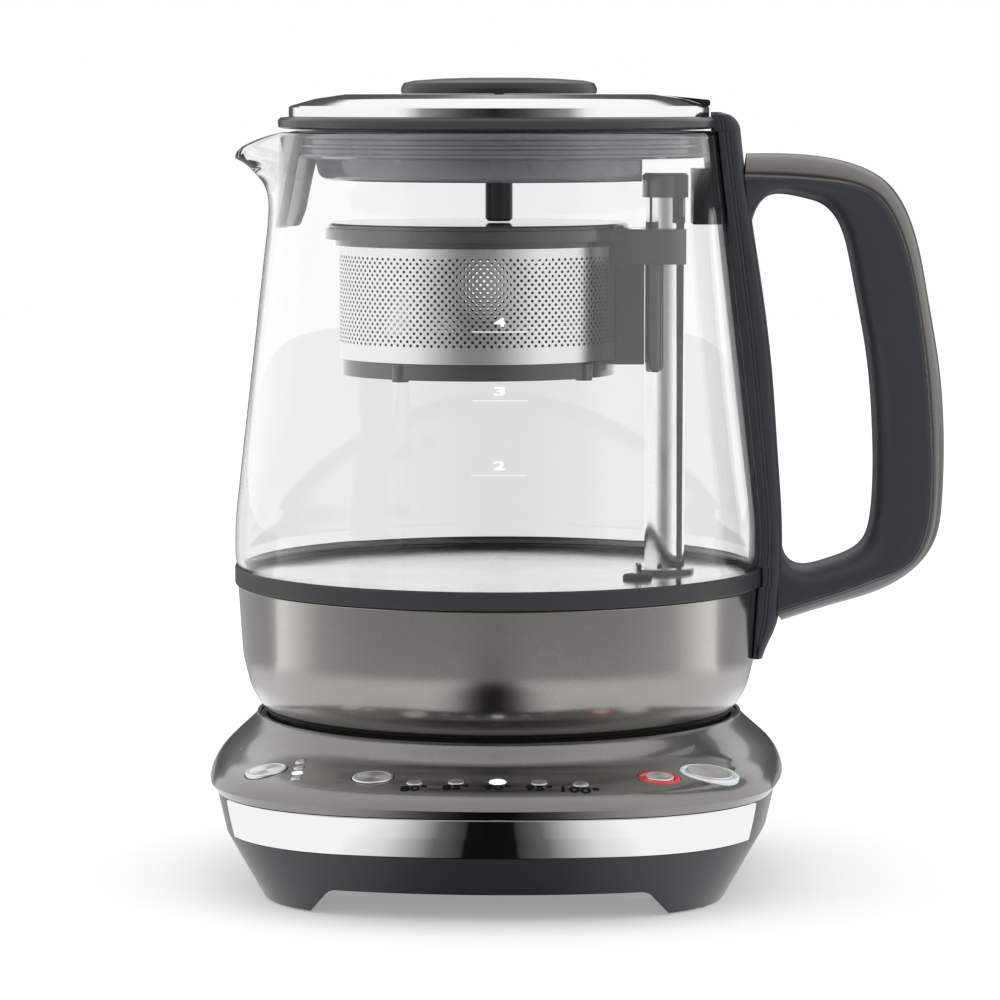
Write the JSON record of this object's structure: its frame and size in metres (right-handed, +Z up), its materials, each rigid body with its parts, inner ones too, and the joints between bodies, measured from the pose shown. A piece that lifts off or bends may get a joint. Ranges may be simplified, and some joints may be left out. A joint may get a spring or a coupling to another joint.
{
  "type": "automatic tea maker",
  "caption": "Glass tea kettle with a travelling tea basket, lift-off lid and side handle, standing on a powered base with push buttons.",
  "frame": {"origin": "on the counter, under the jug's axis", "axes": "+Z up, -Y to the front with the controls, +X to the handle, -X to the spout"},
  "size_m": [0.2069, 0.1769, 0.2261],
  "materials": {
    "brushed_panel": "brushed satin",
    "polished_band": "mirror polish",
    "sleeve_metal": "satin",
    "polished_steel": "polished",
    "sheet_steel": "satin",
    "dark_plastic": "fine matte",
    "charcoal_plastic": "satin",
    "grip_plastic": "soft matte",
    "trim_plastic": "satin",
    "grey_plastic": "satin",
    "plug_plastic": "satin",
    "black_rubber": "matte",
    "clear_glass": "clear",
    "board": "lacquered",
    "screw_steel": "zinc plated",
    "contact_brass": "bright",
    "lens_white": "clear white",
    "lens_red": "clear red",
    "heater_aluminium": "cast",
    "motor_steel": "zinc plated"
  },
  "bodies": {
    "base": {"lower_housing": "charcoal_plastic", "housing_screws": "screw_steel", "rubber_feet": "black_rubber", "trim_band": "polished_band", "top_panel": "brushed_panel", "dock_well": "dark_plastic", "base_connector": "dark_plastic", "base_contacts": "contact_brass", "control_board": "board", "board_screws": "screw_steel", "tap_switches": "dark_plastic", "ring_warm": "lens_red", "ring_start": "lens_white", "indicator_lenses": "lens_white", "cord_bushing": "black_rubber"},
    "strength_key": {"button_strength": "polished_steel"},
    "temperature_key": {"button_temperature": "polished_steel"},
    "warm_key": {"button_warm": "polished_steel"},
    "start_key": {"button_start": "polished_steel"},
    "jug_coupler": {"jug_connector": "dark_plastic"},
    "jug": {"jug_body": "sleeve_metal", "jug_base_cover": "dark_plastic", "jug_screws": "screw_steel", "collar_ring": "charcoal_plastic", "heater_plate": "sheet_steel", "glass_seal": "black_rubber", "heating_element": "heater_aluminium", "thermal_cutout": "dark_plastic", "jug_glass": "clear_glass", "spout_guard": "grey_plastic", "handle_bracket": "dark_plastic", "basket_shaft": "polished_steel", "shaft_cap": "grey_plastic", "shaft_seal": "black_rubber", "drive_spindle": "screw_steel", "drive_motor": "motor_steel", "sensor_probe": "polished_steel", "sensor_gasket": "black_rubber", "handle_spine": "dark_plastic", "handle_grip": "grip_plastic", "handle_trim": "trim_plastic", "handle_screws": "screw_steel"},
    "lid": {"lid_cap": "polished_steel", "lid_flange": "trim_plastic", "lid_skirt": "plug_plastic", "lid_seal": "plug_plastic", "lid_knob": "trim_plastic", "knob_screw": "screw_steel", "lid_stem": "dark_plastic", "lid_tab": "polished_steel", "lid_tab_tip": "dark_plastic"},
    "carriage": {"drive_magnet": "motor_steel"},
    "basket": {"basket_frame": "grey_plastic", "basket_wall": "sheet_steel", "basket_floor": "sheet_steel"},
    "basket_cover": {"basket_lid": "grey_plastic"}
  },
  "joints": [
    {"name": "jug_lift", "type": "slide", "parent": "base", "child": "jug_coupler", "axis": [0, 0, 1], "range_m": [0, 0.15]},
    {"name": "jug_turn", "type": "hinge", "parent": "jug_coupler", "child": "jug", "pos_m": [0, 0, 0.05], "axis": [0, 0, 1], "continuous": true},
    {"name": "lid_lift", "type": "slide", "parent": "jug", "child": "lid", "axis": [0, 0, 1], "range_m": [0, 0.24]},
    {"name": "basket_travel", "type": "slide", "parent": "jug", "child": "carriage", "axis": [0, 0, 1], "range_m": [-0.055, 0]},
    {"name": "basket_lift", "type": "slide", "parent": "carriage", "child": "basket", "axis": [0, 0, 1], "range_m": [0, 0.12]},
    {"name": "basket_lid_lift", "type": "slide", "parent": "basket", "child": "basket_cover", "axis": [0, 0, 1], "range_m": [0, 0.06]},
    {"name": "strength_press", "type": "slide", "parent": "base", "child": "strength_key", "axis": [0.141, 0.1238, -0.9822], "range_m": [0, 0.0008], "stiffness_N_per_m": 400, "springref_m": -0.001},
    {"name": "temperature_press", "type": "slide", "parent": "base", "child": "temperature_key", "axis": [0.0383, 0.1395, -0.9895], "range_m": [0, 0.0008], "stiffness_N_per_m": 400, "springref_m": -0.001},
    {"name": "warm_press", "type": "slide", "parent": "base", "child": "warm_key", "axis": [-0.0707, 0.1277, -0.9893], "range_m": [0, 0.0008], "stiffness_N_per_m": 400, "springref_m": -0.001},
    {"name": "start_press", "type": "slide", "parent": "base", "child": "start_key", "axis": [-0.1251, 0.1182, -0.9851], "range_m": [0, 0.0008], "stiffness_N_per_m": 400, "springref_m": -0.001}
  ],
  "couplings": [
    {"joint": "basket_lift", "follows": "lid_lift", "ratio": 0.5},
    {"joint": "basket_lid_lift", "follows": "lid_lift", "ratio": 0.25}
  ]
}
